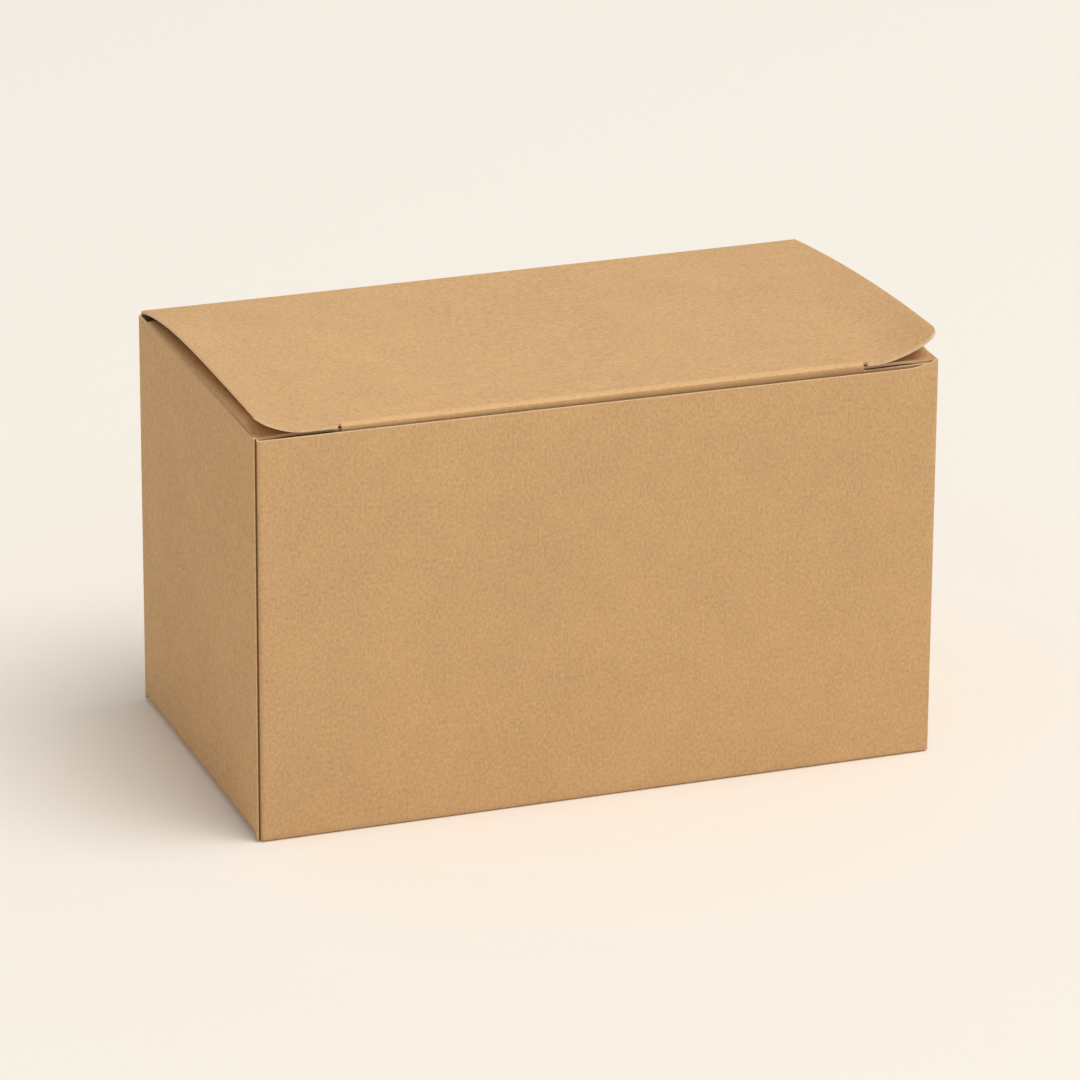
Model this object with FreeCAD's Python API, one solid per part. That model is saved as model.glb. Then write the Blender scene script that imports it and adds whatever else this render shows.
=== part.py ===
import FreeCAD, Part
import math
import os
from FreeCAD import Vector

# Outside of the closed carton: side wall to side wall, front to back, floor to the folds on top
WIDTH = 120.0
DEPTH = 66.0
HEIGHT = 71.0

# The board, and the outside radius of an upright fold
BOARD = 0.5
FOLD_RADIUS = 0.8

# Glue tab behind the front left edge, whose ends are cut on a slant from its root
TAB_LENGTH = 14.0
TAB_ROOT = 0.8
TAB_END_GAP = 5.0
TAB_SLANT = 5.0

# Front wall's cut edge, which lies below the side folds, lowest at its right end, and curves up there
FRONT_LEFT_DROP = 0.45
FRONT_RIGHT_DROP = 1.15
CORNER_LEVEL = 0.3
CORNER_CURVE = 5.5

# Flaps of the glued bottom, lowest layer first, with what each stops short of the far wall
OUTER_FLAP_GAP = 1.2
INNER_FLAP_LENGTH = 46.0
SIDE_FLAP_LENGTH = 34.0
FOOT_GAP = 0.35

# Dust flaps on top of the side walls
DUST_FLAP_LENGTH = 28.0
DUST_FRONT_SETBACK = 2.0
DUST_REAR_SETBACK = 5.0
DUST_FRONT_TAPER = 1.2
DUST_REAR_TAPER = 5.0
DUST_CORNER_RADIUS = 4.0
DUST_BULGE_FRONT = 0.35
DUST_BULGE_PEAK = 1.5
DUST_BULGE_REAR = 0.2
DUST_PEAK_BACK = 7.0
DUST_CREST = 2.0
DUST_SETTLE = 7.5
DUST_END_SAG = 0.6
DUST_FOLD_START = 1.2
DUST_FOLD_CREASE = 0.35

# Lid panel, measured from the carton's outer faces
LID_LEFT_INSET = 0.6
LID_RIGHT_INSET = 0.0
HINGE_CLEARANCE = 0.1
EAR_RADIUS = 2.4
LEFT_SLIT_LENGTH = 15.2
RIGHT_SLIT_LENGTH = 13.4
SLIT_END_WIDTH = 0.7

# How far the sprung lid stands up at its side edges, and how its rise eases off towards the front
LEFT_LIFT = 3.4
RIGHT_LIFT = 4.3
LEFT_EASE = 5.0
RIGHT_EASE = 2.0
LEFT_CURL_LENGTH = 9.5
RIGHT_CURL_LENGTH = 12.0
EAR_CURL_POWER = 2.0
FLAT_FRONT = 4.0
SKIN_BANDS = 9

# Tuck flap, which leans in so that it clears the front wall as the lid turns
TUCK_LENGTH = 14.0
TUCK_LEAN = math.radians(6.5)
TUCK_WALL_GAP = 0.2
TUCK_SIDE_GAP = 1.1
TUCK_CORNER_RADIUS = 9.0
SHOULDER_DROP = 0.35
SHOULDER_RISE = 0.55

LEFT, RIGHT = -WIDTH / 2, WIDTH / 2
FRONT, BACK = -DEPTH / 2, DEPTH / 2
LID_UNDERSIDE = HEIGHT
LID_TOP = LID_UNDERSIDE + BOARD
HINGE_RADIUS = BOARD / 2
HINGE_Y = BACK - HINGE_RADIUS
HINGE_Z = LID_UNDERSIDE + HINGE_RADIUS
TUCK_FACE_Y = FRONT + BOARD + TUCK_WALL_GAP
LEFT_SLIT_X = LEFT + LEFT_SLIT_LENGTH
RIGHT_SLIT_X = RIGHT - RIGHT_SLIT_LENGTH
BEYOND = 20.0


def block(low, high):
    """A box from its lowest to its highest corner."""
    size = [b - a for a, b in zip(low, high)]
    return Part.makeBox(size[0], size[1], size[2], Vector(*low))


def heading(start, end):
    """Direction from one flat point to another, and the distance between them."""
    length = math.hypot(end[0] - start[0], end[1] - start[1])
    return ((end[0] - start[0]) / length, (end[1] - start[1]) / length), length


def beside(point, way, right, ahead):
    """The point moved to the right of a direction, and ahead along it."""
    return (point[0] + way[1] * right + way[0] * ahead, point[1] - way[0] * right + way[1] * ahead)


def folded_strip(corners, radius, place, along):
    """Board that follows the outside corners, rounded at each fold, with its thickness on the right."""
    ways = [heading(start, end)[0] for start, end in zip(corners, corners[1:])]
    edges = []
    for depth in (0, BOARD):
        start = beside(corners[0], ways[0], depth, 0)
        for corner, before, after in zip(corners[1:-1], ways, ways[1:]):
            turn = math.acos(before[0] * after[0] + before[1] * after[1])
            reach = radius * math.tan(turn / 2)
            centre = beside(corner, before, radius, -reach)
            outward = heading(centre, corner)[0]
            arc_start = beside(corner, before, depth, -reach)
            arc_middle = [c + w * (radius - depth) for c, w in zip(centre, outward)]
            arc_end = beside(corner, after, depth, reach)
            edges.append(Part.LineSegment(place(*start), place(*arc_start)).toShape())
            edges.append(Part.Arc(place(*arc_start), place(*arc_middle), place(*arc_end)).toShape())
            start = arc_end
        end = beside(corners[-1], ways[-1], depth, 0)
        edges.append(Part.LineSegment(place(*start), place(*end)).toShape())
    for corner, way in ((corners[0], ways[0]), (corners[-1], ways[-1])):
        edges.append(Part.LineSegment(place(*corner), place(*beside(corner, way, BOARD, 0))).toShape())
    return Part.Face(Part.Wire(Part.__sortEdges__(edges))).extrude(along)


def clamped_knots(count, degree):
    """Knots and their counts for a curve that ends on its first and last point."""
    knots = [float(i) for i in range(count - degree + 1)]
    return knots, [degree + 1] + [1] * (len(knots) - 2) + [degree + 1]


def bent_sheet(outside, inside):
    """Solid board between two smooth skins, each steered by rows of points."""
    degree = 3
    row_knots, row_counts = clamped_knots(len(outside), degree)
    point_knots, point_counts = clamped_knots(len(outside[0]), degree)
    skins = []
    for points in (outside, inside):
        skin = Part.BSplineSurface()
        skin.buildFromPolesMultsKnots(points, row_counts, point_counts, row_knots, point_knots,
                                      False, False, degree, degree)
        skins.append(skin)
    faces = [skin.toShape() for skin in skins]
    for knot in (row_knots[0], row_knots[-1]):
        edges = [skin.uIso(knot).toShape() for skin in skins]
        faces.append(Part.makeRuledSurface(edges[0], edges[1]))
    for knot in (point_knots[0], point_knots[-1]):
        edges = [skin.vIso(knot).toShape() for skin in skins]
        faces.append(Part.makeRuledSurface(edges[0], edges[1]))
    shell = Part.makeShell(faces)
    shell.sewShape()
    solid = Part.makeSolid(Part.Shell(shell.Faces))
    if solid.Volume < 0:
        solid.reverse()
    return solid


def plate(points, radii, place, along):
    """Prism over an outline, each corner rounded by its radius."""
    arcs = []
    for i, radius in enumerate(radii):
        corner = points[i]
        back = heading(corner, points[i - 1])[0]
        ahead = heading(corner, points[(i + 1) % len(points)])[0]
        half = math.acos(back[0] * ahead[0] + back[1] * ahead[1]) / 2
        reach = radius / math.tan(half)
        inward = heading((0, 0), (back[0] + ahead[0], back[1] + ahead[1]))[0]
        to_arc = radius / math.sin(half) - radius
        arcs.append([(corner[0] + way[0] * far, corner[1] + way[1] * far)
                     for way, far in ((back, reach), (inward, to_arc), (ahead, reach))])
    edges = []
    for i, (start, middle, end) in enumerate(arcs):
        if radii[i] > 0:
            edges.append(Part.Arc(place(*start), place(*middle), place(*end)).toShape())
        following = arcs[(i + 1) % len(arcs)][0]
        edges.append(Part.LineSegment(place(*end), place(*following)).toShape())
    return Part.Face(Part.Wire(edges)).extrude(along)


def tube():
    """Four walls and the glue tab, folded from one strip and closed at the front left edge."""
    tab_face = LEFT + BOARD
    runs = [[(LEFT, FRONT), (LEFT, BACK), (RIGHT, BACK), (RIGHT, FRONT), (0, FRONT)],
            [(0, FRONT), (tab_face, FRONT), (tab_face, FRONT + TAB_LENGTH)]]
    strips = [folded_strip(corners, FOLD_RADIUS, lambda x, y: Vector(x, y, FOOT_GAP),
                           Vector(0, 0, HEIGHT - FOOT_GAP)) for corners in runs]
    walls = strips[0].fuse(strips[1])
    tab_start = FRONT + FOLD_RADIUS + TAB_ROOT
    tab_stop = FRONT + TAB_LENGTH + BEYOND
    for level, way in ((0, 1), (HEIGHT, -1)):
        first = level + way * TAB_END_GAP
        slanted = first + way * TAB_SLANT * (tab_stop - tab_start) / TAB_LENGTH
        outline = [(tab_start, level - way), (tab_start, first), (tab_stop, slanted),
                   (tab_stop, level - way)]
        end = plate(outline, [0] * 4, lambda y, z: Vector(tab_face, y, z), Vector(BOARD, 0, 0))
        walls = walls.cut(end)
    return walls


def front_edge_cut():
    """What is cut away above the front wall, whose right end curves up to its corner."""
    start, end = LEFT + BOARD, RIGHT - CORNER_LEVEL
    curve_start = end - CORNER_CURVE
    low_left, low_right = HEIGHT - FRONT_LEFT_DROP, HEIGHT - FRONT_RIGHT_DROP
    points = [(curve_start, low_right), (start, low_left), (start, HEIGHT + 1), (end, HEIGHT + 1),
              (end, HEIGHT)]
    spots = [Vector(x, FRONT - 1, z) for x, z in points]
    middle = Vector(curve_start + CORNER_CURVE / 2, FRONT - 1, low_right + FRONT_RIGHT_DROP / 4)
    edges = [Part.LineSegment(a, b).toShape() for a, b in zip(spots, spots[1:])]
    edges.append(Part.Arc(spots[-1], middle, spots[0]).toShape())
    return Part.Face(Part.Wire(edges)).extrude(Vector(0, 1 + FOLD_RADIUS, 0))


def bottom_flaps():
    """Glued bottom: the front's flap lies lowest, the back's above it, the two side flaps on top."""
    along = DEPTH - 2 * FOLD_RADIUS
    x_low, x_high = LEFT + FOLD_RADIUS, RIGHT - FOLD_RADIUS
    seam_low = LEFT + BOARD + FOLD_RADIUS
    inner = BOARD
    side = 2 * BOARD
    leg = FOLD_RADIUS + BOARD

    def on_side(x, z):
        return Vector(x, FRONT + FOLD_RADIUS, z)

    outer_corners = [(BACK - OUTER_FLAP_GAP, 0), (FRONT, 0), (FRONT, leg)]
    inner_corners = [(BACK, inner + leg), (BACK, inner), (BACK - INNER_FLAP_LENGTH, inner)]
    right_corners = [(RIGHT, side + leg), (RIGHT, side), (RIGHT - SIDE_FLAP_LENGTH, side)]
    left_corners = [(LEFT + SIDE_FLAP_LENGTH, side), (LEFT, side), (LEFT, side + leg)]
    return [
        folded_strip(outer_corners, FOLD_RADIUS, lambda y, z: Vector(seam_low, y, z),
                     Vector(x_high - seam_low, 0, 0)),
        folded_strip(inner_corners, FOLD_RADIUS, lambda y, z: Vector(x_low, y, z),
                     Vector(x_high - x_low, 0, 0)),
        folded_strip(right_corners, FOLD_RADIUS, on_side, Vector(0, along, 0)),
        folded_strip(left_corners, FOLD_RADIUS, on_side, Vector(0, along, 0)),
    ]


def bottom_fold_room():
    """Strips of wall that give way to the folds of the bottom flaps."""
    inside_left, inside_right = LEFT + FOLD_RADIUS, RIGHT - FOLD_RADIUS
    inside_front, inside_back = FRONT + FOLD_RADIUS, BACK - FOLD_RADIUS
    side_top = 2 * BOARD + FOLD_RADIUS
    return [
        block((inside_left + BOARD, FRONT - 1, -1), (inside_right, inside_front, FOLD_RADIUS)),
        block((inside_left, inside_back, -1), (inside_right, BACK + 1, BOARD + FOLD_RADIUS)),
        block((LEFT - 1, inside_front + TAB_ROOT / 2, -1), (LEFT + BOARD, inside_back, side_top)),
        block((RIGHT - BOARD, inside_front, -1), (RIGHT + 1, inside_back, side_top)),
    ]


def inner_points(points):
    """A run of points on the board's inner face, opposite those on its outer face."""
    ways = [heading(start, end)[0] for start, end in zip(points, points[1:])]
    moved = []
    for point, before, after in zip(points, ways[:1] + ways, ways + ways[-1:]):
        nx, nz = (before[1] + after[1]) / 2, -(before[0] + after[0]) / 2
        grow = BOARD / (nx * nx + nz * nz)
        moved.append((point[0] + nx * grow, point[1] + nz * grow))
    return moved


def dust_flap(side):
    """Flap that springs up a little at its fold and then runs in under the lid."""
    y_first = FRONT + DUST_FRONT_SETBACK
    y_last = BACK - DUST_REAR_SETBACK
    y_peak = y_first + DUST_PEAK_BACK
    stations = [(y_first + DUST_PEAK_BACK * i / 3, DUST_BULGE_FRONT, DUST_BULGE_PEAK, i / 3)
                for i in range(3)]
    stations += [(y_peak + (y_last - y_peak) * i / 5, DUST_BULGE_PEAK, DUST_BULGE_REAR, i / 5)
                 for i in range(6)]
    outside, inside = [], []
    for y, bulge_before, bulge_after, share in stations:
        bulge = bulge_before + (bulge_after - bulge_before) * share
        profile = [(0, -DUST_FOLD_START), (0, -DUST_FOLD_CREASE), (DUST_FOLD_CREASE, bulge / 3),
                   (DUST_CREST, bulge), (DUST_CREST * 2, bulge * 0.65), (DUST_SETTLE, -DUST_END_SAG / 4)]
        profile += [(DUST_SETTLE + (DUST_FLAP_LENGTH - DUST_SETTLE) * part,
                     -DUST_END_SAG * (1 + 3 * part) / 4) for part in (0.3, 0.65, 1.0)]
        for rows, points in ((outside, profile), (inside, inner_points(profile))):
            rows.append([Vector(side * (WIDTH / 2 - d), y, HEIGHT + h) for d, h in points])
    flap = bent_sheet(outside, inside)
    outline = [(-1, y_first), (0, y_first), (DUST_FLAP_LENGTH, y_first + DUST_FRONT_TAPER),
               (DUST_FLAP_LENGTH, y_last - DUST_REAR_TAPER), (BOARD, y_last), (-1, y_last)]
    radii = [0, 0, DUST_CORNER_RADIUS, DUST_CORNER_RADIUS, 0, 0]
    if side > 0:
        outline, radii = outline[::-1], radii[::-1]
    shape = plate(outline, radii, lambda d, y: Vector(side * (WIDTH / 2 - d), y, HEIGHT - BEYOND),
                  Vector(0, 0, 2 * BEYOND))
    return flap.common(shape)


def carton():
    """Everything that is folded from the blank apart from the lid."""
    body = tube().cut(front_edge_cut())
    back_top = block((LEFT - 1, BACK - FOLD_RADIUS, HEIGHT - HINGE_CLEARANCE),
                     (RIGHT + 1, BACK + 1, HEIGHT + 1))
    side_tops = [block((low, FRONT + DUST_FRONT_SETBACK, HEIGHT - DUST_FOLD_START),
                       (high, BACK - DUST_REAR_SETBACK, HEIGHT + 1))
                 for low, high in ((LEFT - 1, LEFT + BOARD), (RIGHT - BOARD, RIGHT + 1))]
    for room in bottom_fold_room() + [back_top] + side_tops:
        body = body.cut(room)
    body = body.multiFuse(bottom_flaps() + [dust_flap(-1), dust_flap(1)])
    return body.removeSplitter()


def lid_lift(x, along):
    """How far the lid stands above its flat position, at a distance along from the hinge."""
    reach = HINGE_Y - TUCK_FACE_Y
    share = min(along / reach, 1.0)
    out = abs(x) / (WIDTH / 2)
    if x < 0:
        rise, curl_length = LEFT_LIFT * (1 - (1 - share) ** LEFT_EASE), LEFT_CURL_LENGTH
    else:
        rise, curl_length = RIGHT_LIFT * (1 - (1 - share) ** RIGHT_EASE), RIGHT_CURL_LENGTH
    curl = max(0.0, 1 - (WIDTH / 2 - abs(x)) / curl_length) ** EAR_CURL_POWER
    held = min(1.0, along / (reach - FLAT_FRONT)) ** 2
    broad = out * out
    return rise * (broad + (curl - broad) * held)


def lid_panel():
    """Top panel with its two ears, sprung up along both sides."""
    x_low, x_high = LEFT + LID_LEFT_INSET, RIGHT - LID_RIGHT_INSET
    steps_in = [0, 2, 4, 6, 8, 10, 12, 14, 18, 24, 32, 42]
    columns = [x_low + step for step in steps_in] + [0.0] + [x_high - step for step in steps_in[::-1]]
    reach = HINGE_Y - TUCK_FACE_Y
    rows_from_front = [0, FLAT_FRONT / 4, FLAT_FRONT / 2, FLAT_FRONT * 3 / 4, FLAT_FRONT]
    rows_behind = 14
    rows = [(reach - FLAT_FRONT) * i / rows_behind for i in range(rows_behind)]
    rows += [reach - step for step in rows_from_front[::-1]]
    skins = []
    for level in (LID_TOP, LID_UNDERSIDE):
        skins.append([[Vector(x, HINGE_Y - row, level + lid_lift(x, row)) for x in columns]
                      for row in rows])
    panel = bent_sheet(*skins)
    outline = [(x_low, TUCK_FACE_Y), (x_high, TUCK_FACE_Y), (x_high, HINGE_Y), (x_low, HINGE_Y)]
    shape = plate(outline, [EAR_RADIUS, EAR_RADIUS, 0, 0],
                  lambda x, y: Vector(x, y, HEIGHT - BEYOND), Vector(0, 0, 2 * BEYOND))
    return panel.common(shape)


def tuck_flap(fold_start):
    """Front fold between the slits, and the flap below it with its two shoulders."""
    end = (TUCK_FACE_Y + TUCK_LENGTH * math.sin(TUCK_LEAN), LID_TOP - TUCK_LENGTH * math.cos(TUCK_LEAN))
    half = WIDTH / 2 - TUCK_SIDE_GAP
    corners = [end, (TUCK_FACE_Y, LID_TOP), (HINGE_Y, LID_TOP)]
    flap = folded_strip(corners, FOLD_RADIUS, lambda y, z: Vector(-half, y, z), Vector(2 * half, 0, 0))
    flap = flap.cut(block((-half - 1, fold_start, LID_UNDERSIDE - 1), (half + 1, BACK, LID_TOP + 1)))
    top = LID_UNDERSIDE - SHOULDER_DROP
    for side, slit in ((-1, -LEFT_SLIT_X), (1, RIGHT_SLIT_X)):
        above = [(slit, LID_TOP + 1), (slit, top), (half + 1, top + SHOULDER_RISE), (half + 1, LID_TOP + 1)]
        flap = flap.cut(plate(above[::side], [0] * 4, lambda x, z: Vector(side * x, FRONT, z),
                              Vector(0, DEPTH, 0)))
    outline = [(-half, end[1]), (half, end[1]), (half, LID_TOP + 1), (-half, LID_TOP + 1)]
    shape = plate(outline, [TUCK_CORNER_RADIUS, TUCK_CORNER_RADIUS, 0, 0],
                  lambda x, z: Vector(x, FRONT, z), Vector(0, DEPTH, 0))
    return flap.common(shape)


def in_bands(sheet, start, end, count):
    """The same solid, its long skins divided into bands from start to end so that each stays true."""
    lines = [start + (end - start) * i / count for i in range(count + 1)]
    lines[0], lines[-1] = start - BEYOND, end + BEYOND
    bands = [sheet.common(block((LEFT - 1, low, -BEYOND), (RIGHT + 1, high, HEIGHT + BEYOND)))
             for low, high in zip(lines, lines[1:])]
    return bands[0].multiFuse(bands[1:])


def lid():
    """Top panel, tuck flap and the round rear edge that the lid turns on."""
    fold_start = TUCK_FACE_Y + FOLD_RADIUS * math.tan((math.pi / 2 + TUCK_LEAN) / 2)
    panel = lid_panel()
    panel = panel.cut(block((LEFT_SLIT_X - SLIT_END_WIDTH, FRONT, LID_UNDERSIDE - 1),
                            (RIGHT_SLIT_X + SLIT_END_WIDTH, fold_start, LID_TOP + 1)))
    x_low, x_high = LEFT + LID_LEFT_INSET, RIGHT - LID_RIGHT_INSET
    rear_edge = Part.makeCylinder(HINGE_RADIUS, x_high - x_low, Vector(x_low, HINGE_Y, HINGE_Z),
                                  Vector(1, 0, 0))
    rear_edge = rear_edge.common(block((LEFT, HINGE_Y, HINGE_Z - 1), (RIGHT, BACK + 1, HINGE_Z + 1)))
    whole = panel.multiFuse([tuck_flap(fold_start), rear_edge]).removeSplitter()
    return in_bands(whole, TUCK_FACE_Y, HINGE_Y, SKIN_BANDS)


os.makedirs("parts", exist_ok=True)
for name, make in (("carton", carton), ("lid", lid)):
    shape = make()
    solids = shape.Solids
    print(name, len(solids), "solid", "valid" if shape.isValid() else "NOT VALID",
          round(shape.Volume, 1), "mm3", shape.BoundBox)
    solid = solids[0] if len(solids) == 1 else shape
    solid.exportStep("parts/" + name + ".step")
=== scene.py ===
import bmesh
import bpy
import math
from mathutils import Matrix, Vector


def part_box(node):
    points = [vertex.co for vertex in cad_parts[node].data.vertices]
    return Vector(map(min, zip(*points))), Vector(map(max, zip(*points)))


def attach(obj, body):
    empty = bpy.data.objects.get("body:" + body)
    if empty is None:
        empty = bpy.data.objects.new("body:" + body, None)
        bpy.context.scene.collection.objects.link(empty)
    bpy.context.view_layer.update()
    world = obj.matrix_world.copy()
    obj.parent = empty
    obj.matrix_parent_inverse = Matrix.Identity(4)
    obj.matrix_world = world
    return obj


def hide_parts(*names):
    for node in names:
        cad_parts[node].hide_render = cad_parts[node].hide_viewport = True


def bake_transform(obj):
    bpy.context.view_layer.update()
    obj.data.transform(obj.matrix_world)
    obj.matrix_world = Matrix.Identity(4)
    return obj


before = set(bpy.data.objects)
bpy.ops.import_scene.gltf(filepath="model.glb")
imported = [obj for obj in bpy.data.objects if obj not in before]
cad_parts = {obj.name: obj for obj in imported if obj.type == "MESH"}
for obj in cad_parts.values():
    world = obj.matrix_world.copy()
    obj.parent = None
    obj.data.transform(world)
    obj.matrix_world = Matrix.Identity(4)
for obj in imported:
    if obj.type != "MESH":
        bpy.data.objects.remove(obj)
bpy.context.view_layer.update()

# Board: thin unbleached folding board, a grey-brown pulp of short fibres pressed flat, so that it is
# matt, a little cloudy and full of fine light and dark flecks. Every piece of the carton is cut from it.
BOARD = 0.0005
BOARD_COLOUR = (0.640, 0.394, 0.187)
BOARD_PALE = 1.20
BOARD_DARK = 0.80
FLECK_SIZE = 0.00022
FLECK_SHADE = 0.46
MIDDLE_SHADE = 0.5
STREAK_SHADE = 0.06
CLOUD_SIZE = 0.004
CLOUD_SHADE = 0.06
BROAD_SHADE = 0.07
SPECK_GAP = 0.0042
SPECK_EDGE = (0.03, 0.07)
SPECK_CHANCE = (0.35, 0.4)
SPECK_SHADE = -0.4
FIBRE_HEIGHT = 0.00006
BOARD_ROUGHNESS = 0.78
ROUGHNESS_SPREAD = 0.06
BOARD_SHEEN = 0.25
# Cut edges: a paler colour, painted highlight for the light that catches the board's raw edges.
CUT_HIGHLIGHT_COLOUR = (0.800, 0.565, 0.335)
CUT_PALE = 1.12
CUT_RELIEF = 0.6
# Seam: painted shade, near black, for the shadow in the crevice of the glued seam at the front left edge.
SEAM_SHADE_COLOUR = (0.120, 0.065, 0.026)
SEAM_SHADE_PALE = 1.1
SEAM_SHADE_RELIEF = 0.3
WALL_STRETCH, WALL_RELIEF = (1, 1, 0.7), 0.12
LID_STRETCH, LID_RELIEF = (0.7, 1, 1), 0.10
EVEN = (1, 1, 1)


def socket(group, name, kind, way, value=None):
    """One named input or output of a node group."""
    made = group.interface.new_socket(name=name, in_out=way, socket_type=kind)
    if value is not None:
        made.default_value = value
    return made


NODE_STEP = 180


def add(nodes, kind, place, **settings):
    """A node at a place on the sheet, with its settings."""
    node = nodes.new(kind)
    node.location = (place[0] * NODE_STEP, place[1] * NODE_STEP)
    for name, value in settings.items():
        setattr(node, name, value)
    return node


def noise_at(group, place, source, scale, detail, roughness=0.55):
    """Noise of one scale on a vector that comes from another node."""
    node = add(group.nodes, "ShaderNodeTexNoise", place)
    node.inputs["Scale"].default_value = scale
    node.inputs["Detail"].default_value = detail
    node.inputs["Roughness"].default_value = roughness
    group.links.new(source, node.inputs["Vector"])
    return node.outputs["Fac"]


def spread(group, place, source, low, high, to_low, to_high):
    """A value's range stretched to another one, and held inside it."""
    node = add(group.nodes, "ShaderNodeMapRange", place)
    for name, value in (("From Min", low), ("From Max", high), ("To Min", to_low), ("To Max", to_high)):
        node.inputs[name].default_value = value
    group.links.new(source, node.inputs["Value"])
    return node.outputs["Result"]


def join(group, place, operation, first, second):
    """Two values put together by one sum."""
    node = add(group.nodes, "ShaderNodeMath", place, operation=operation)
    for slot, value in zip(node.inputs, (first, second)):
        if isinstance(value, float):
            slot.default_value = value
        else:
            group.links.new(value, slot)
    return node.outputs["Value"]


def board_fibres():
    """The board's flecks, clouds, streaks and specks as a shade from dark to pale, and as a relief."""
    group = bpy.data.node_groups.new("board_fibres", "ShaderNodeTree")
    socket(group, "Vector", "NodeSocketVector", "INPUT")
    socket(group, "Stretch", "NodeSocketVector", "INPUT", (1, 1, 1))
    socket(group, "Shade", "NodeSocketFloat", "OUTPUT")
    socket(group, "Relief", "NodeSocketFloat", "OUTPUT")
    start = add(group.nodes, "NodeGroupInput", (0, 0))
    end = add(group.nodes, "NodeGroupOutput", (8, 0))
    place = start.outputs["Vector"]
    stretched = add(group.nodes, "ShaderNodeVectorMath", (1, -2), operation="MULTIPLY")
    group.links.new(place, stretched.inputs[0])
    group.links.new(start.outputs["Stretch"], stretched.inputs[1])

    fleck = noise_at(group, (2, 2), stretched.outputs["Vector"], 0.5 / FLECK_SIZE, 2.0, 0.6)
    cloud = noise_at(group, (2, 1), place, 0.5 / CLOUD_SIZE, 2.0, 0.5)
    broad = noise_at(group, (2, 0), place, 0.1 / CLOUD_SIZE, 2.0)
    streak = noise_at(group, (2, -1), stretched.outputs["Vector"], 0.25 / FLECK_SIZE, 1.0)
    fleck_shade = spread(group, (3, 2), fleck, 0.2, 0.8, -FLECK_SHADE, FLECK_SHADE)
    cloud_shade = spread(group, (3, 1), cloud, 0.3, 0.7, -CLOUD_SHADE, CLOUD_SHADE)
    broad_shade = spread(group, (3, 0), broad, 0.3, 0.7, -BROAD_SHADE, BROAD_SHADE)
    streak_shade = spread(group, (3, -1), streak, 0.3, 0.7, -STREAK_SHADE, STREAK_SHADE)

    specks = add(group.nodes, "ShaderNodeTexVoronoi", (2, -3))
    specks.inputs["Scale"].default_value = 1 / SPECK_GAP
    group.links.new(place, specks.inputs["Vector"])
    speck = spread(group, (3, -3), specks.outputs["Distance"], *SPECK_EDGE, SPECK_SHADE, 0.0)
    chance = spread(group, (3, -4), specks.outputs["Color"], *SPECK_CHANCE, 1.0, 0.0)
    dark_speck = join(group, (4, -3), "MULTIPLY", speck, chance)

    shade = fleck_shade
    for row, part in enumerate((cloud_shade, broad_shade, streak_shade, dark_speck, MIDDLE_SHADE)):
        shade = join(group, (5, 2 - row), "ADD", shade, part)
    group.links.new(shade, end.inputs["Shade"])
    group.links.new(fleck, end.inputs["Relief"])
    return group


fibres = board_fibres()


def board_material(name, colour, pale, dark, stretch, relief):
    """A finish of the board: its colour spread by the fibres and, where a piece carries the fold mark, by
    a paler fold top and painted shade below it, with their fine relief.
    """
    material = bpy.data.materials.new(name)
    material.use_nodes = True
    tree = material.node_tree
    shader = tree.nodes["Principled BSDF"]
    place = add(tree.nodes, "ShaderNodeTexCoord", (-6, 0))
    grain = add(tree.nodes, "ShaderNodeGroup", (-5, 0), node_tree=fibres)
    grain.inputs["Stretch"].default_value = stretch
    # The fold mark: paler on the fold's top, painted shade on its lower band.
    fold_pale_and_shade = add(tree.nodes, "ShaderNodeAttribute", (-6, 2), attribute_name="fold_pale_and_shade")
    fold_pale_and_shade_flecked = join(tree, (-5, 2), "MULTIPLY", fold_pale_and_shade.outputs["Fac"], grain.outputs["Relief"])
    shade = join(tree, (-4, 1), "ADD", grain.outputs["Shade"], fold_pale_and_shade_flecked)
    ramp = add(tree.nodes, "ShaderNodeValToRGB", (-3, 1))
    ramp.color_ramp.elements[0].color = [c * dark for c in colour] + [1]
    ramp.color_ramp.elements[1].color = [min(c * pale, 1) for c in colour] + [1]
    bump = add(tree.nodes, "ShaderNodeBump", (-2, -1))
    bump.inputs["Strength"].default_value = relief
    bump.inputs["Distance"].default_value = FIBRE_HEIGHT
    rough = spread(tree, (-3, -1), grain.outputs["Shade"], 0, 1, BOARD_ROUGHNESS + ROUGHNESS_SPREAD,
                   BOARD_ROUGHNESS - ROUGHNESS_SPREAD)
    tree.links.new(place.outputs["Object"], grain.inputs["Vector"])
    tree.links.new(shade, ramp.inputs["Fac"])
    tree.links.new(ramp.outputs["Color"], shader.inputs["Base Color"])
    tree.links.new(rough, shader.inputs["Roughness"])
    tree.links.new(grain.outputs["Relief"], bump.inputs["Height"])
    tree.links.new(bump.outputs["Normal"], shader.inputs["Normal"])
    shader.inputs["Specular IOR Level"].default_value = BOARD_SHEEN
    return material


wall_face = board_material("wall_face", BOARD_COLOUR, BOARD_PALE, BOARD_DARK, WALL_STRETCH, WALL_RELIEF)
lid_face = board_material("lid_face", BOARD_COLOUR, BOARD_PALE, BOARD_DARK, LID_STRETCH, LID_RELIEF)
# The cut edges' finish is painted highlight: paler than the board.
cut_edge_highlight = board_material("cut_edge_highlight", CUT_HIGHLIGHT_COLOUR, CUT_PALE, BOARD_DARK, EVEN, CUT_RELIEF)
seam_shade_edge = board_material("seam_shade_edge", SEAM_SHADE_COLOUR, SEAM_SHADE_PALE, BOARD_DARK, EVEN, SEAM_SHADE_RELIEF)

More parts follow.
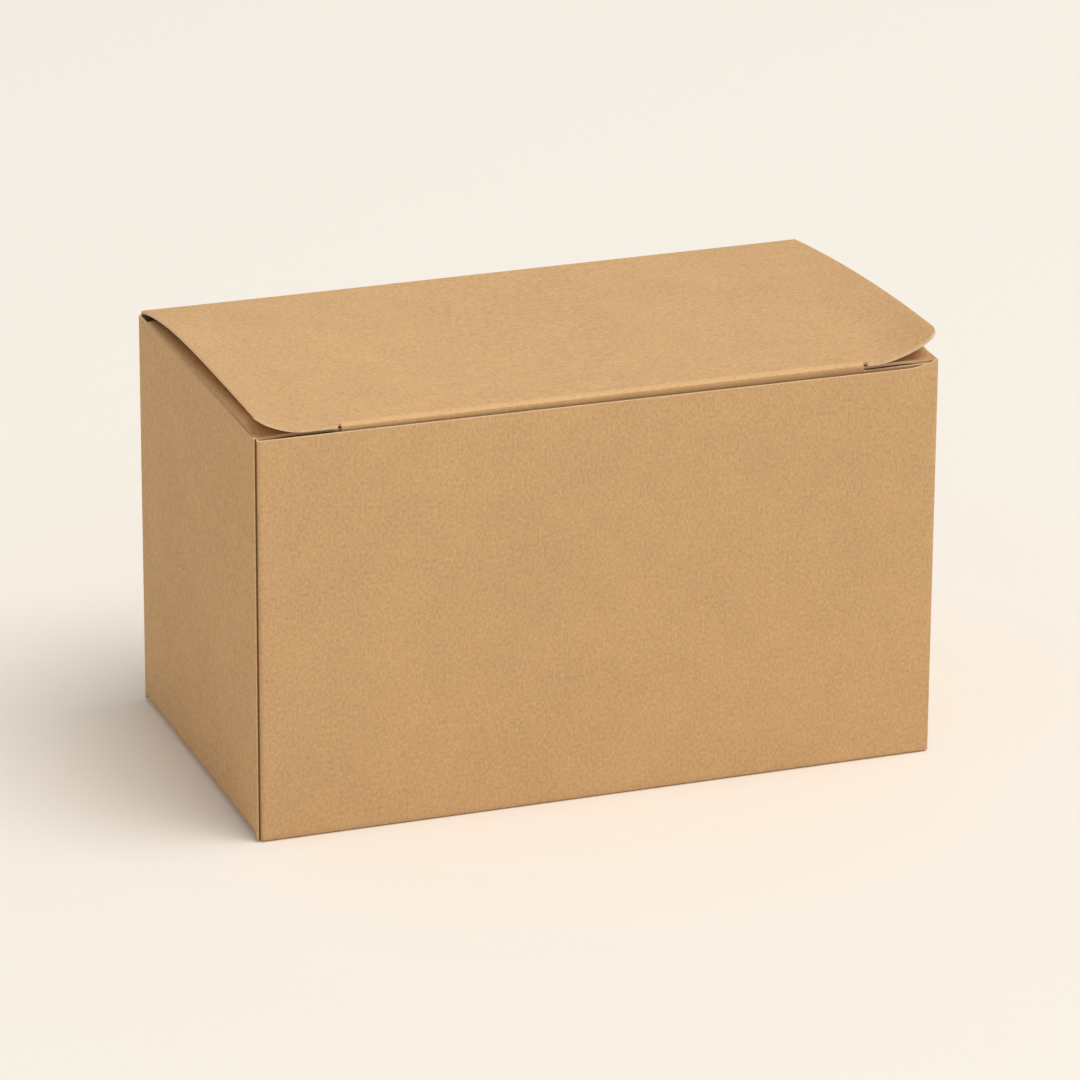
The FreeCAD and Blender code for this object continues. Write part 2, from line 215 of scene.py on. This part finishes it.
# Walls: one strip of board with four upright creases. It is closed at the front left edge, where the
# front panel's tab is glued behind the first panel's raw edge. The front's top edge is cut lower.
FOLD_RADIUS = 0.0008
FOLD_STEPS = 6
HEIGHT = 0.071
WALL_FOOT = 0.00035
TAB_LENGTH = 0.014
TAB_END_GAP = 0.005
TAB_SLANT = 0.005
FRONT_LEFT_DROP = 0.00045
FRONT_RIGHT_DROP = 0.00115
CORNER_LEVEL = 0.0003
CORNER_CURVE = 0.0055
SEAM_SETBACK = 0.00035
SEAM_WIDTH = 0.00028
WORN_EDGE = 0.00007
SHARP_FROM = math.radians(65)
SMOOTH_BELOW = math.radians(40)
TINY = 0.00001

wall_low, wall_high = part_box("carton")
LEFT, RIGHT, FRONT, BACK = wall_low.x, wall_high.x, wall_low.y, wall_high.y
WIDTH, DEPTH = RIGHT - LEFT, BACK - FRONT


def choose(sheet, keep, kind="EDGE"):
    """Select the sheet's points, edges or faces whose points all pass a test on their place."""
    bpy.context.view_layer.objects.active = sheet
    bpy.ops.object.mode_set(mode="EDIT")
    bpy.ops.mesh.select_mode(type=kind)
    bpy.ops.mesh.select_all(action="DESELECT")
    mesh = bmesh.from_edit_mesh(sheet.data)
    items = {"VERT": mesh.verts, "EDGE": mesh.edges, "FACE": mesh.faces}[kind]
    for item in items:
        points = [item.co] if kind == "VERT" else [v.co for v in item.verts]
        item.select_set(all(keep(p) for p in points))
    mesh.select_flush_mode()
    bmesh.update_edit_mesh(sheet.data)


def near(a, b, slack=TINY):
    """Whether two lengths are the same."""
    return abs(a - b) < slack


def between(value, low, high, slack=TINY):
    """Whether a length lies in a range, ends included."""
    return low - slack < value < high + slack


def first_panel(name, middle, turn, size):
    """A flat panel of board: a plane at its place, turned as it stands, in true size."""
    if bpy.context.object and bpy.context.object.mode == "EDIT":
        bpy.ops.object.mode_set(mode="OBJECT")
    bpy.ops.object.select_all(action="DESELECT")
    bpy.ops.mesh.primitive_plane_add(size=1, location=middle, rotation=turn)
    sheet = bpy.context.object
    sheet.name = sheet.data.name = name
    sheet.scale = (size[0], size[1], 1)
    bpy.ops.object.transform_apply(location=True, rotation=True, scale=True)
    return sheet


def push(*way):
    """Extrude the chosen edges by a step."""
    bpy.ops.mesh.extrude_region_move(TRANSFORM_OT_translate={"value": way})


def slice_at(sheet, axis, values, keep=lambda p: True):
    """Cut lines across the chosen part of a sheet, square to an axis."""
    for value in values:
        choose(sheet, keep, "FACE")
        place, normal = [0, 0, 0], [0, 0, 0]
        place[axis], normal[axis] = value, 1
        bpy.ops.mesh.bisect(plane_co=place, plane_no=normal)


def cut_away(sheet, keep):
    """Take out the chosen faces, with the points that only they use."""
    choose(sheet, keep, "FACE")
    bpy.ops.mesh.delete(type="FACE")


def round_fold(sheet, keep, radius=FOLD_RADIUS, steps=FOLD_STEPS):
    """Round the chosen folds to the board's outside radius."""
    choose(sheet, keep)
    bpy.ops.mesh.bevel(offset=radius, segments=steps, affect="EDGES", clamp_overlap=False)


walls = first_panel("carton_walls", (LEFT, (FRONT + BACK) / 2, (WALL_FOOT + HEIGHT) / 2),
                    (0, -math.pi / 2, 0), (HEIGHT - WALL_FOOT, DEPTH))
choose(walls, lambda p: near(p.y, BACK))
push(WIDTH, 0, 0)
push(0, -DEPTH, 0)
push(BOARD - WIDTH, 0, 0)
push(0, TAB_LENGTH, 0)
round_fold(walls, lambda p: near(p.x, LEFT) and near(p.y, BACK))
round_fold(walls, lambda p: near(p.x, RIGHT) and near(p.y, BACK))
round_fold(walls, lambda p: near(p.x, RIGHT) and near(p.y, FRONT))
round_fold(walls, lambda p: near(p.x, LEFT + BOARD) and near(p.y, FRONT))

tab_end = FRONT + TAB_LENGTH
for level, way in ((WALL_FOOT, 1), (HEIGHT, -1)):
    choose(walls, lambda p: near(p.y, tab_end) and near(p.z, level), "VERT")
    bpy.ops.transform.translate(value=(0, 0, way * (TAB_END_GAP + TAB_SLANT)))

curve_end = RIGHT - CORNER_LEVEL
curve_start = curve_end - CORNER_CURVE
slice_at(walls, 0, [curve_start + CORNER_CURVE * i / FOLD_STEPS for i in range(FOLD_STEPS)],
         lambda p: near(p.y, FRONT))


def front_drop(x):
    """How far the front's cut edge lies below the side folds: more to the right, then curving up."""
    if x > curve_start:
        return FRONT_RIGHT_DROP * (1 - min((x - curve_start) / CORNER_CURVE, 1) ** 2)
    return FRONT_LEFT_DROP + (FRONT_RIGHT_DROP - FRONT_LEFT_DROP) * (x - LEFT) / (curve_start - LEFT)


bpy.ops.object.mode_set(mode="OBJECT")
for point in walls.data.vertices:
    p = point.co
    if near(p.z, HEIGHT) and p.y < FRONT + FOLD_RADIUS + TINY and p.x > LEFT + TINY:
        p.z -= front_drop(p.x)
    if near(p.z, HEIGHT) and p.y > BACK - FOLD_RADIUS - TINY:
        p.z -= FOLD_RADIUS - BOARD
    if near(p.x, LEFT) and near(p.y, FRONT):
        p.y += SEAM_SETBACK

# Bottom: four flaps folded under from the walls and glued, the front's lowest, the back's on it and
# the two short side flaps on top. Each is cut free of its wall at both ends, up to its crease.
OUTER_FLAP_GAP = 0.0012
INNER_FLAP_LENGTH = 0.046
SIDE_FLAP_LENGTH = 0.034
SIDE_FLAP_START = 0.0004


def fold_under(axis, wall, ends, level, length):
    """Push one bottom flap down from its wall and in under the carton, and round its crease."""
    across = 1 - axis
    crease = level + FOLD_RADIUS + BOARD
    slice_at(walls, 2, [crease], lambda p: near(p[axis], wall))
    slice_at(walls, across, ends, lambda p: near(p[axis], wall) and p.z < crease + TINY)
    cut_away(walls, lambda p: near(p[axis], wall) and p.z < crease + TINY
             and between(p[across], ends[0], ends[1]))
    choose(walls, lambda p: near(p[axis], wall) and near(p.z, crease)
           and between(p[across], ends[0], ends[1]))
    push(0, 0, level - crease)
    inward = [0, 0, 0]
    inward[axis] = -math.copysign(length, wall)
    push(*inward)
    round_fold(walls, lambda p: near(p[axis], wall) and near(p.z, level))


fold_under(1, FRONT, (LEFT + BOARD + FOLD_RADIUS, RIGHT - FOLD_RADIUS), 0, DEPTH - OUTER_FLAP_GAP)
fold_under(1, BACK, (LEFT + FOLD_RADIUS, RIGHT - FOLD_RADIUS), BOARD, INNER_FLAP_LENGTH)
side_ends = (FRONT + FOLD_RADIUS + SIDE_FLAP_START, BACK - FOLD_RADIUS)
fold_under(0, LEFT, side_ends, 2 * BOARD, SIDE_FLAP_LENGTH)
fold_under(0, RIGHT, side_ends, 2 * BOARD, SIDE_FLAP_LENGTH)

# Dust flaps: one from the top of each side wall, folded in under the lid. The crease springs back, so
# each flap first rises a little, most of all near the front, and then settles below the wall's edge.
DUST_LENGTH = 0.028
DUST_START = 0.0012
DUST_FRONT_SETBACK = 0.0008
DUST_LUG_WIDTH = 0.00095
DUST_LUG_LENGTH = 0.00065
DUST_REAR_SETBACK = 0.005
DUST_FRONT_TAPER = 0.0004
DUST_REAR_TAPER = 0.005
DUST_CORNER = 0.004
DUST_CREASE = 0.0004
DUST_CREST = 0.0017
DUST_SETTLE = 0.008
DUST_FRONT_RISE = -0.0005
DUST_PEAK_RISE = 0.0012
DUST_REAR_RISE = 0.0002
DUST_PEAK_BACK = 0.007
DUST_END_DROP = 0.0006
DUST_CREST_POWER = 1.3
dust_first, dust_last = FRONT + DUST_FRONT_SETBACK, BACK - DUST_REAR_SETBACK
DUST_LINES = [0.0007, 0.0012, 0.0017, 0.0021, 0.0025, 0.003, 0.0035, 0.004, 0.0045, 0.005, 0.0055,
              0.006, 0.0065, 0.007, 0.0075, 0.008, 0.0105, 0.014, 0.018, 0.022]
DUST_ROWS = [dust_first + i * 0.001 for i in range(1, 10)] + [dust_first + i * 0.005 for i in range(2, 12)]


def dust_rise(inset, y):
    """How high a dust flap stands over its wall's top, at a distance in from the wall."""
    back = y - dust_first
    if back < DUST_PEAK_BACK:
        share = max(back, 0) / DUST_PEAK_BACK
        crest = DUST_FRONT_RISE + (DUST_PEAK_RISE - DUST_FRONT_RISE) * share * share * (3 - 2 * share)
    else:
        share = (back - DUST_PEAK_BACK) / (dust_last - dust_first - DUST_PEAK_BACK)
        crest = DUST_PEAK_RISE + (DUST_REAR_RISE - DUST_PEAK_RISE) * min(share, 1)
    out = inset / DUST_CREST
    spring_back = (out * math.exp(1 - out)) ** DUST_CREST_POWER * max(0, 1 - (inset / DUST_SETTLE) ** 2)
    return crest * spring_back - DUST_END_DROP * inset / DUST_LENGTH


def trim_beyond(sheet, keep, place, out):
    """Cut a straight line across the chosen part of a sheet and take out what lies beyond it."""
    place, out = Vector(place), Vector(out).normalized()
    choose(sheet, keep, "FACE")
    bpy.ops.mesh.bisect(plane_co=place, plane_no=out, threshold=TINY)
    cut_away(sheet, lambda p: keep(p) and (p - place).dot(out) > -2 * TINY)


def dust_flap(side):
    """Push a dust flap up from its wall and in, trim and round it, then spring it up at its crease."""
    wall = side * WIDTH / 2
    start = HEIGHT - DUST_START
    slice_at(walls, 2, [start], lambda p: near(p.x, wall))
    slice_at(walls, 1, [dust_first, dust_last], lambda p: near(p.x, wall) and p.z > start - TINY)
    cut_away(walls, lambda p: near(p.x, wall) and p.z > start - TINY
             and between(p.y, dust_first, dust_last))
    choose(walls, lambda p: near(p.x, wall) and near(p.z, start) and between(p.y, dust_first, dust_last))
    push(0, 0, DUST_START)
    push(-side * DUST_LENGTH, 0, 0)
    on_flap = lambda p: near(p.z, HEIGHT) and between(p.y, dust_first, dust_last) \
        and between(side * p.x, WIDTH / 2 - DUST_LENGTH, WIDTH / 2)
    slice_at(walls, 0, [wall - side * DUST_LUG_WIDTH], on_flap)
    inner = lambda p: on_flap(p) and side * p.x < WIDTH / 2 - DUST_LUG_WIDTH + TINY
    for edge, taper, way, part in ((dust_first + DUST_LUG_LENGTH, DUST_FRONT_TAPER, -1, inner),
                                   (dust_last, DUST_REAR_TAPER, 1, on_flap)):
        trim_beyond(walls, part, (wall, edge, HEIGHT), (-side * taper, way * DUST_LENGTH, 0))
    choose(walls, lambda p: near(p.x, side * (WIDTH / 2 - DUST_LENGTH)) and near(p.z, HEIGHT), "VERT")
    bpy.ops.mesh.bevel(offset=DUST_CORNER, segments=FOLD_STEPS, affect="VERTICES")
    round_fold(walls, lambda p: on_flap(p) and near(p.x, wall), DUST_CREASE, 3)
    slice_at(walls, 0, [wall - side * inset for inset in DUST_LINES], on_flap)
    slice_at(walls, 1, DUST_ROWS, on_flap)
    bpy.ops.object.mode_set(mode="OBJECT")
    for point in walls.data.vertices:
        if on_flap(point.co):
            point.co.z += dust_rise(WIDTH / 2 - side * point.co.x, point.co.y)


dust_flap(-1)
dust_flap(1)


def give_thickness(sheet, face, trim, joint=lambda p: False):
    """Board thickness on the inner side, a rim of cut edge in its paler colour, a painted highlight, and
    sharp edges a little rubbed down.
    """
    bpy.ops.object.mode_set(mode="OBJECT")
    bpy.ops.object.select_all(action="DESELECT")
    sheet.select_set(True)
    bpy.context.view_layer.objects.active = sheet
    for material in (face, cut_edge_highlight):
        sheet.data.materials.append(material)
    solid = sheet.modifiers.new("thickness", "SOLIDIFY")
    solid.thickness = BOARD
    solid.offset = -1
    solid.use_even_offset = True
    # The rim of every sheet takes the cut edges' painted highlight.
    solid.material_offset_rim = 1
    bpy.ops.object.modifier_apply(modifier="thickness")
    for point in sheet.data.vertices:
        trim(point.co)
    bpy.ops.object.mode_set(mode="EDIT")
    bpy.ops.mesh.select_mode(type="EDGE")
    bpy.ops.mesh.select_all(action="DESELECT")
    bpy.ops.mesh.edges_select_sharp(sharpness=SHARP_FROM)
    mesh = bmesh.from_edit_mesh(sheet.data)
    for edge in mesh.edges:
        if edge.select and all(joint(v.co) for v in edge.verts):
            edge.select_set(False)
    bmesh.update_edit_mesh(sheet.data)
    bpy.ops.mesh.bevel(offset=WORN_EDGE, segments=2, affect="EDGES", clamp_overlap=True)
    bpy.ops.object.mode_set(mode="OBJECT")
    for point in sheet.data.vertices:
        trim(point.co)
    bpy.ops.object.shade_smooth_by_angle(angle=SMOOTH_BELOW)


def at_rear_fold(p):
    """Whether a point lies where the back wall or the lid runs into the fold between them."""
    return p.y > BACK - 2 * FOLD_RADIUS and p.z > HEIGHT - 2 * FOLD_RADIUS


def inside_walls(p):
    """Keep a rubbed-down edge from standing proud of the carton's outer faces."""
    p.x = min(max(p.x, LEFT), RIGHT)
    p.y = min(max(p.y, FRONT), BACK)
    p.z = max(p.z, 0)


give_thickness(walls, wall_face, inside_walls, at_rear_fold)
# The seam's front-facing raw edge: its inner strip gets the painted shade of the crevice, its outer strip
# the board's face.
walls.data.materials.append(seam_shade_edge)
seam_start, seam_end = LEFT + BOARD - SEAM_WIDTH, LEFT + BOARD
on_seam = lambda p: between(p.x, LEFT, seam_end, 2 * TINY) and near(p.y, FRONT + SEAM_SETBACK, 3 * TINY)
slice_at(walls, 0, [seam_start], on_seam)
for slot, low, high in ((0, LEFT, seam_start), (2, seam_start, seam_end)):
    choose(walls, lambda p: on_seam(p) and between(p.x, low, high, 2 * TINY), "FACE")
    walls.active_material_index = slot
    bpy.ops.object.material_slot_assign()
bpy.ops.object.mode_set(mode="OBJECT")
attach(walls, "carton")
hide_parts("carton")

# Lid: the top panel with a slit at each end of its front crease, which sets two round ears free. The
# board is sprung, so both sides rise towards the front and the ears curl up off the dust flaps.
LEFT_SLIT_X, RIGHT_SLIT_X = -0.0448, 0.0466
SLIT_END_WIDTH = 0.0007
EAR_RADIUS = 0.0024
LEFT_LIFT, LEFT_EASE, LEFT_CURL = 0.0034, 5.0, 0.0095
RIGHT_LIFT, RIGHT_EASE, RIGHT_CURL = 0.0043, 2.0, 0.0120
EAR_CURL_POWER = 2.0
FLAT_FRONT = 0.004
TUCK_LENGTH = 0.014
TUCK_LEAN = math.radians(6.5)
TUCK_SIDE_GAP = 0.0011
TUCK_CORNER = 0.009
SHOULDER_DROP = 0.00085
ARC_STEPS = 10
WIDE_STEP = 0.006
EAR_START = 0.048
EAR_STEP = 0.001
ROW_STEP = 0.003
# The front fold's mark: paler along its top, painted shade on the band below, where less light falls.
FOLD_MARK_WIDTH = 0.0012
FOLD_MARK_DEPTH = 0.0015
FOLD_PALE = 1.1
FOLD_PAINTED_SHADE = -0.7

lid_low, lid_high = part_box("lid")
LID_LEFT, LID_RIGHT, TUCK_FACE = lid_low.x, lid_high.x, lid_low.y
LID_TOP = HEIGHT + BOARD
HINGE_Y = BACK - BOARD / 2
LID_REACH = HINGE_Y - TUCK_FACE
lid_rear = BACK - FOLD_RADIUS

lid = first_panel("lid_board", ((LID_LEFT + LID_RIGHT) / 2, (TUCK_FACE + lid_rear) / 2, LID_TOP),
                  (0, 0, 0), (LID_RIGHT - LID_LEFT, lid_rear - TUCK_FACE))
choose(lid, lambda p: near(p.y, TUCK_FACE), "VERT")
bpy.ops.mesh.bevel(offset=EAR_RADIUS, segments=ARC_STEPS, affect="VERTICES")
slits = ((-1, -LEFT_SLIT_X), (1, RIGHT_SLIT_X))
fold_reach = FOLD_RADIUS * math.tan((math.pi / 2 + TUCK_LEAN) / 2)
for side, slit in slits:
    slice_at(lid, 0, (side * slit, side * (slit + SLIT_END_WIDTH)))
    in_slit_end = lambda p: between(side * p.x, slit, slit + SLIT_END_WIDTH)
    slice_at(lid, 1, [TUCK_FACE + fold_reach], in_slit_end)
    cut_away(lid, lambda p: in_slit_end(p) and p.y < TUCK_FACE + fold_reach + TINY)

on_fold = lambda p: between(p.x, LEFT_SLIT_X, RIGHT_SLIT_X)
choose(lid, lambda p: near(p.y, TUCK_FACE) and on_fold(p))
neck = (BOARD + SHOULDER_DROP) / math.cos(TUCK_LEAN)
for run in (neck, TUCK_LENGTH - neck):
    push(0, run * math.sin(TUCK_LEAN), -run * math.cos(TUCK_LEAN))
shoulder_end, shoulder_top = WIDTH / 2 - TUCK_SIDE_GAP, HEIGHT - SHOULDER_DROP
for side, slit in slits:
    choose(lid, lambda p: near(p.x, side * slit) and p.z < shoulder_top + TINY)
    push(side * (shoulder_end - slit), 0, 0)
tuck_end = LID_TOP - TUCK_LENGTH * math.cos(TUCK_LEAN)
choose(lid, lambda p: near(p.z, tuck_end) and near(abs(p.x), shoulder_end), "VERT")
bpy.ops.mesh.bevel(offset=TUCK_CORNER, segments=ARC_STEPS, affect="VERTICES")
round_fold(lid, lambda p: near(p.y, TUCK_FACE) and near(p.z, LID_TOP) and on_fold(p),
           fold_reach, ARC_STEPS - 2)

COLUMNS = [i * WIDE_STEP for i in range(-7, 8)]
COLUMNS += [side * (EAR_START + i * EAR_STEP) for side in (-1, 1) for i in range(12)]
ROWS = [TUCK_FACE + FLAT_FRONT * i / 4 for i in range(1, 5)]
ROWS += [TUCK_FACE + FLAT_FRONT + i * ROW_STEP for i in range(1, 20)]
on_panel = lambda p: near(p.z, LID_TOP)
slice_at(lid, 0, COLUMNS, on_panel)
slice_at(lid, 1, ROWS, on_panel)


def spring(x, along):
    """How far the board has sprung up off its flat place, at a distance along from the hinge."""
    share = min(along / LID_REACH, 1)
    lift, ease, curl_run = (LEFT_LIFT, LEFT_EASE, LEFT_CURL) if x < 0 else \
        (RIGHT_LIFT, RIGHT_EASE, RIGHT_CURL)
    broad = (2 * x / WIDTH) ** 2
    curl = max(0, 1 - (WIDTH / 2 - abs(x)) / curl_run) ** EAR_CURL_POWER
    held = min(1, along / (LID_REACH - FLAT_FRONT)) ** 2
    return lift * (1 - (1 - share) ** ease) * (broad + (curl - broad) * held)


bpy.ops.object.mode_set(mode="OBJECT")
for point in lid.data.vertices:
    if on_panel(point.co):
        point.co.z += spring(point.co.x, HINGE_Y - point.co.y)


def plumb(p):
    """Keep the underside's cut edges in line with the upper ones, as a cutting rule leaves them."""
    p.x = min(max(p.x, LID_LEFT), LID_RIGHT)
    p.y = max(p.y, TUCK_FACE)
    p.z = min(p.z, lid_high.z)


give_thickness(lid, lid_face, plumb, at_rear_fold)
# Mark the front fold: paler on its top, painted shade on its lower, front-facing band.
fold_pale_and_shade = lid.data.attributes.new("fold_pale_and_shade", "FLOAT", "POINT")
for point, mark in zip(lid.data.vertices, fold_pale_and_shade.data):
    p = point.co
    if on_fold(p) and p.y < TUCK_FACE + FOLD_MARK_WIDTH and p.z > HEIGHT - FOLD_MARK_DEPTH:
        mark.value = FOLD_PALE if p.z > LID_TOP - FOLD_RADIUS / 3 else FOLD_PAINTED_SHADE
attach(lid, "lid")
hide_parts("lid")

# Rear fold: the crease that the lid turns on, where back wall and lid are still one board. It is
# built as the quarter round of the closed carton.
rear = first_panel("rear_fold", ((LID_LEFT + LID_RIGHT) / 2, BACK, LID_TOP - FOLD_RADIUS * 1.5),
                   (math.pi / 2, 0, math.pi), (LID_RIGHT - LID_LEFT, FOLD_RADIUS))
choose(rear, lambda p: near(p.z, LID_TOP - FOLD_RADIUS))
push(0, 0, FOLD_RADIUS)
push(0, -FOLD_RADIUS, 0)
round_fold(rear, lambda p: near(p.y, BACK) and near(p.z, LID_TOP))
cut_away(rear, lambda p: p.z < LID_TOP - FOLD_RADIUS + TINY)
give_thickness(rear, lid_face, plumb, at_rear_fold)
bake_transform(rear)

# Stand: the floor of the pale sweep that the carton is photographed on, drawn flat as one seamless sheet
# of paper.
FLOOR_COLOUR = (0.93, 0.882, 0.81, 1)
FLOOR_SIZE = 8
FLOOR_ROUGHNESS = 0.9
bpy.ops.object.select_all(action="DESELECT")
bpy.ops.mesh.primitive_plane_add(size=FLOOR_SIZE)
floor = bpy.context.object
floor.name = "floor"
floor_paper = bpy.data.materials.new("floor_paper")
floor_paper.use_nodes = True
floor_paper.node_tree.nodes["Principled BSDF"].inputs["Base Color"].default_value = FLOOR_COLOUR
floor_paper.node_tree.nodes["Principled BSDF"].inputs["Roughness"].default_value = FLOOR_ROUGHNESS
floor.data.materials.append(floor_paper)

# Lights: a big soft window of light above the front right, and pale light from all round.
KEY_FROM = Vector((0.265, -0.275, 0.9))
KEY_DISTANCE = 4.0
KEY_SIZE = 3.0
KEY_POWER = 102.0
KEY_TINT = (1.0, 0.985, 0.96)
WORLD_STRENGTH = 0.50
WORLD_TINT = (1.0, 0.985, 0.965, 1)
lamp = bpy.data.lights.new("window", "AREA")
lamp.shape = "DISK"
lamp.size = KEY_SIZE
lamp.energy = KEY_POWER
lamp.color = KEY_TINT
key = bpy.data.objects.new("window", lamp)
key.location = KEY_FROM.normalized() * KEY_DISTANCE
key.rotation_euler = (-key.location).to_track_quat("-Z", "Y").to_euler()
bpy.context.scene.collection.objects.link(key)
world = bpy.data.worlds.new("surroundings")
world.use_nodes = True
world.node_tree.nodes["Background"].inputs["Color"].default_value = WORLD_TINT
world.node_tree.nodes["Background"].inputs["Strength"].default_value = WORLD_STRENGTH
bpy.context.scene.world = world
bpy.context.scene.view_settings.view_transform = "Standard"

# Camera: the photograph's angle, found from the carton's six visible corners.
CAMERA_PLACE = Vector((-0.35337, -0.98105, 0.43621))
CAMERA_YAW = 0.3467
CAMERA_PITCH = 0.3680
CAMERA_ROLL = 0.0056
CAMERA_LENS = 218.4
CAMERA_SENSOR = 36
CAMERA_CLIP = (0.05, 50)
camera = bpy.data.objects.new("camera", bpy.data.cameras.new("camera"))
camera.data.lens = CAMERA_LENS
camera.data.sensor_width = CAMERA_SENSOR
camera.data.clip_start, camera.data.clip_end = CAMERA_CLIP
camera.matrix_world = (Matrix.Translation(CAMERA_PLACE) @ Matrix.Rotation(-CAMERA_YAW, 4, "Z")
                       @ Matrix.Rotation(math.pi / 2 - CAMERA_PITCH, 4, "X")
                       @ Matrix.Rotation(CAMERA_ROLL, 4, "Z"))
bpy.context.scene.collection.objects.link(camera)
bpy.context.scene.camera = camera
